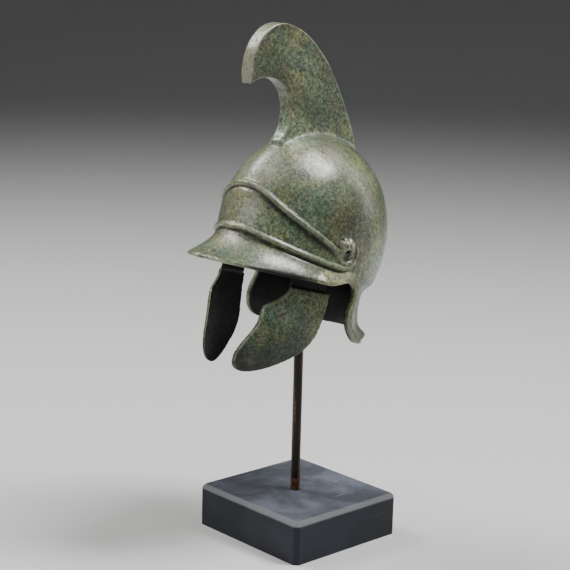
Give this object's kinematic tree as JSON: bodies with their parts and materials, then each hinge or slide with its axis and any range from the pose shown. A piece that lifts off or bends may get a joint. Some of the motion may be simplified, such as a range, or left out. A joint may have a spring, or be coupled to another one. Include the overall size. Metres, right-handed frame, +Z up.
{
  "type": "bronze helmet on a stone stand",
  "caption": "Desk-size bronze helmet with a forward-curling crest, visor, ear arches and cheek guards, held up by a rod in a stone block.",
  "frame": {"origin": "middle of the stone block's underside, on the surface that it stands on", "axes": "+Z up along the rod; the helmet faces -Y; the wearer's left is +X"},
  "size_m": [0.078, 0.1094, 0.251],
  "materials": {
    "bronze_patina": "cast bronze under a mottled grey-green patina with black speckle, satin sheen and worn pale edges",
    "bronze_plate": "bronze plate, green patina outside with dark pitting towards the tip, near-black inside",
    "rod_metal": "black paint worn through to copper-brown along the rod",
    "dark_stone": "honed blue-grey slate with pale scuffs and lighter chamfers"
  },
  "bodies": {
    "root": {"helmet_casting": "bronze_patina", "cheek_guard_left": "bronze_plate", "cheek_guard_right": "bronze_plate", "mount_rod": "rod_metal", "stone_base": "dark_stone"}
  },
  "joints": []
}
